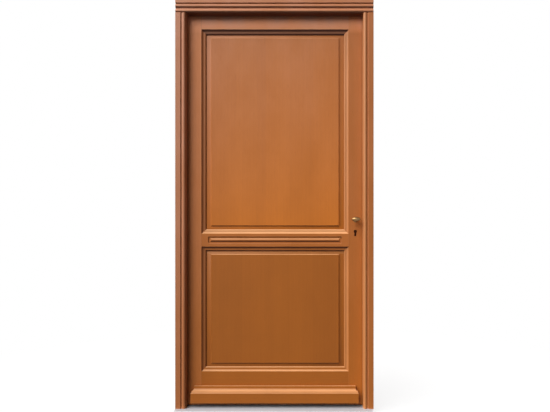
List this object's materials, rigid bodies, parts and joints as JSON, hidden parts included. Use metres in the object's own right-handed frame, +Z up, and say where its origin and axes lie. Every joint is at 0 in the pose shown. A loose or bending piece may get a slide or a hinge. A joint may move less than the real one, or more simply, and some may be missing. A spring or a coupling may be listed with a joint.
{
  "type": "panelled front door",
  "caption": "Stained wooden front door in its frame: raised panels above and below a reeded lock rail, a weather bar, brass knobs, a mortise lock and an aluminium threshold.",
  "frame": {"origin": "middle of the threshold's underside, in the frame's mid-depth plane", "axes": "+X to the lock side (right, seen from outside), +Y indoors, +Z up"},
  "size_m": [1.02, 0.17, 2.14],
  "materials": {
    "stained_wood": "satin stain",
    "panel_wood": "satin stain",
    "aluminium": "anodised",
    "seal_rubber": "matte",
    "brass": "satin",
    "polished_brass": "polished",
    "bronzed_brass": "dark bronzed",
    "steel": "zinc plated"
  },
  "bodies": {
    "frame": {"jamb_hinge_side": "stained_wood", "jamb_lock_side": "stained_wood", "frame_head": "stained_wood", "threshold": "aluminium", "threshold_screws": "steel", "seal_hinge_side": "seal_rubber", "seal_lock_side": "seal_rubber", "seal_head": "seal_rubber", "hinge_frame_flag_bottom": "brass", "hinge_frame_flag_middle": "brass", "hinge_frame_flag_top": "brass", "hinge_pin_bottom": "steel", "hinge_pin_middle": "steel", "hinge_pin_top": "steel", "hinge_washer_bottom": "brass", "hinge_washer_middle": "brass", "hinge_washer_top": "brass", "hinge_frame_screws": "brass", "strike_plate": "brass", "strike_screws": "brass"},
    "leaf": {"stile_hinge_side": "stained_wood", "stile_lock_side": "stained_wood", "rail_top": "stained_wood", "rail_lock": "stained_wood", "rail_bottom": "stained_wood", "panel_upper": "panel_wood", "panel_lower": "panel_wood", "weather_bar": "stained_wood", "bottom_seal": "seal_rubber", "hinge_leaf_flag_bottom": "brass", "hinge_leaf_flag_middle": "brass", "hinge_leaf_flag_top": "brass", "hinge_leaf_screws": "brass", "lock_case": "steel", "lock_cover": "steel", "lock_faceplate": "brass", "faceplate_screws": "brass", "latch_spring": "steel", "lock_cylinder": "bronzed_brass", "cylinder_screw": "steel", "collar_outside": "polished_brass", "collar_inside": "polished_brass"},
    "handle": {"knob_outside": "polished_brass", "knob_inside": "polished_brass", "spindle": "steel", "lock_follower": "steel", "knob_grub_screws": "steel"},
    "latch": {"latch_bolt": "brass"},
    "deadbolt": {"dead_bolt": "brass"},
    "key_plug": {"cylinder_plug": "bronzed_brass"}
  },
  "joints": [
    {"name": "leaf_swing", "type": "hinge", "parent": "frame", "child": "leaf", "pos_m": [-0.473, 0.0555, 1], "axis": [0, 0, 1], "range_deg": [0, 110]},
    {"name": "handle_turn", "type": "hinge", "parent": "leaf", "child": "handle", "pos_m": [0.421, 0.023, 0.996], "axis": [0, -1, 0], "range_deg": [0, 38]},
    {"name": "latch_slide", "type": "slide", "parent": "leaf", "child": "latch", "axis": [-1, 0, 0], "range_m": [0, 0.012], "stiffness_N_per_m": 250, "springref_m": -0.03, "deforming": ["latch_spring"]},
    {"name": "key_turn", "type": "hinge", "parent": "leaf", "child": "key_plug", "pos_m": [0.421, 0.023, 0.934], "axis": [0, 1, 0], "range_deg": [0, 360]},
    {"name": "deadbolt_throw", "type": "slide", "parent": "leaf", "child": "deadbolt", "axis": [1, 0, 0], "range_m": [0, 0.02]}
  ],
  "couplings": [
    {"joint": "handle_turn", "follows": "latch_slide", "rad_per_m": 55},
    {"joint": "key_turn", "follows": "deadbolt_throw", "rad_per_m": 314}
  ]
}
